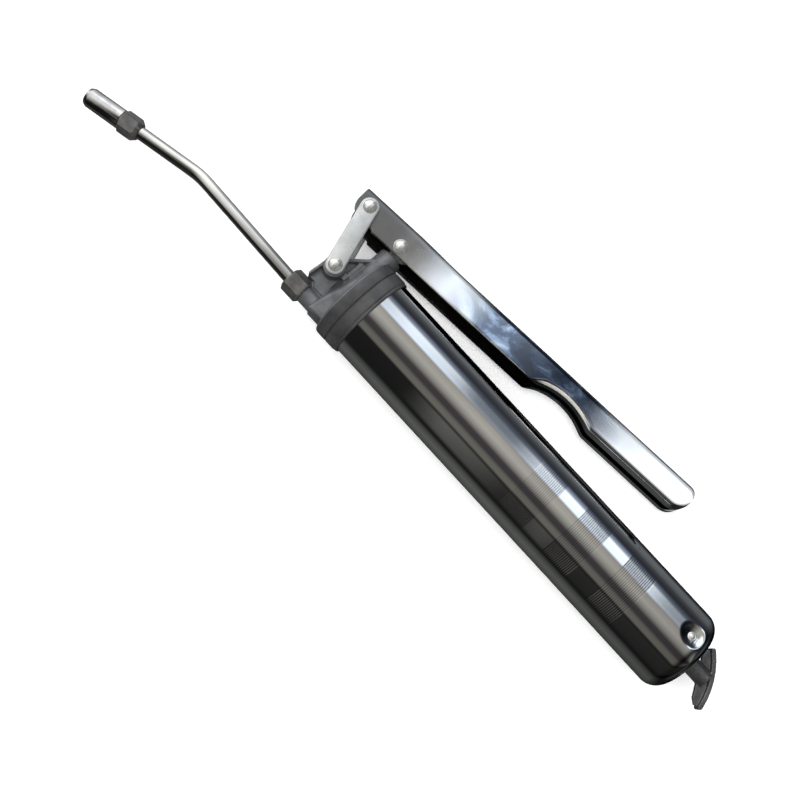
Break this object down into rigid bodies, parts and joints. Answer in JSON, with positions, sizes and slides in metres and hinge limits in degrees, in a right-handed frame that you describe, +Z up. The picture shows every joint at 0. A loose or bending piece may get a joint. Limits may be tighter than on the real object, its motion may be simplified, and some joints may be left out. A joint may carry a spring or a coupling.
{
  "type": "grease gun",
  "caption": "Hand-held lever grease gun with a round barrel, cast pump head, folded lever on two links, bent spout with coupler, and a sprung follower drawn back by a T-handle.",
  "frame": {"origin": "centre of the bounding box at the level of the surface the gun lies on", "axes": "+X along the barrel towards the T-handle, +Y from the barrel towards the lever, +Z up; the gun lies on its side"},
  "size_m": [0.533, 0.1184, 0.0609],
  "materials": {
    "cast": "matte die-cast grey",
    "chrome": "bright plated",
    "plate_steel": "satin zinc plate",
    "rivet_steel": "bright zinc plate",
    "dark_steel": "dark oiled steel",
    "spring_steel": "spring steel",
    "brass": "plain",
    "rubber": "black",
    "black_nickel": "gloss black nickel"
  },
  "bodies": {
    "gun": {"head": "cast", "head_gasket": "rubber", "barrel": "chrome", "tail_plug": "rivet_steel", "rod_guide": "dark_steel", "spring_seat": "plate_steel", "plunger_packing": "rubber", "gland_ring": "brass", "check_spring": "spring_steel", "spout_nut": "dark_steel", "spout_ferrule": "brass", "spout_tube": "chrome", "coupler_body": "dark_steel", "coupler_sleeve": "chrome", "coupler_spring": "spring_steel", "head_rivet": "rivet_steel", "follower_spring": "spring_steel"},
    "links": {"link_near": "plate_steel", "link_far": "plate_steel", "link_rivet": "rivet_steel"},
    "lever": {"lever": "chrome", "plunger_rivet": "rivet_steel"},
    "plunger": {"plunger": "rivet_steel"},
    "check_ball": {"check_ball": "rivet_steel"},
    "jaws": {"coupler_jaws": "dark_steel", "coupler_seal": "rubber"},
    "follower": {"follower_cup": "rubber", "follower_front_plate": "plate_steel", "follower_back_plate": "plate_steel", "follower_nut": "dark_steel"},
    "rod": {"follower_rod": "rivet_steel", "rod_collar": "dark_steel", "t_handle": "black_nickel"}
  },
  "joints": [
    {"name": "link_swing", "type": "hinge", "parent": "gun", "child": "links", "pos_m": [-0.08082, -0.01524, 0.03018], "axis": [0.0068, 0.2282, 0.9736], "range_deg": [-18.15, 0]},
    {"name": "lever_swing", "type": "hinge", "parent": "links", "child": "lever", "pos_m": [-0.09469, 0.0257, 0.02068], "axis": [0.0068, 0.2282, 0.9736], "range_deg": [0, 78.09]},
    {"name": "plunger_stroke", "type": "slide", "parent": "gun", "child": "plunger", "axis": [-0.0016, 0.9736, -0.2282], "range_m": [0, 0.03046]},
    {"name": "follower_slide", "type": "slide", "parent": "gun", "child": "follower", "axis": [1, 0, -0.007], "range_m": [0, 0.215], "stiffness_N_per_m": 400, "springref_m": -0.1, "deforming": ["follower_spring"]},
    {"name": "rod_turn", "type": "hinge", "parent": "follower", "child": "rod", "pos_m": [0.05808, -0.01733, 0.0297], "axis": [1, 0, -0.007], "continuous": true},
    {"name": "check_ball_lift", "type": "slide", "parent": "gun", "child": "check_ball", "axis": [-1, 0, 0.007], "range_m": [0, 0.0015], "stiffness_N_per_m": 200, "springref_m": -0.002, "deforming": ["check_spring"]},
    {"name": "jaw_slide", "type": "slide", "parent": "gun", "child": "jaws", "axis": [0.9771, 0.2057, -0.0551], "range_m": [0, 0.0015], "stiffness_N_per_m": 2000, "springref_m": -0.002, "deforming": ["coupler_spring"]}
  ],
  "couplings": [
    {"joint": "link_swing", "follows": "lever_swing", "ratio": -0.23173},
    {"joint": "plunger_stroke", "follows": "lever_swing", "m_per_rad": 0.022312}
  ]
}
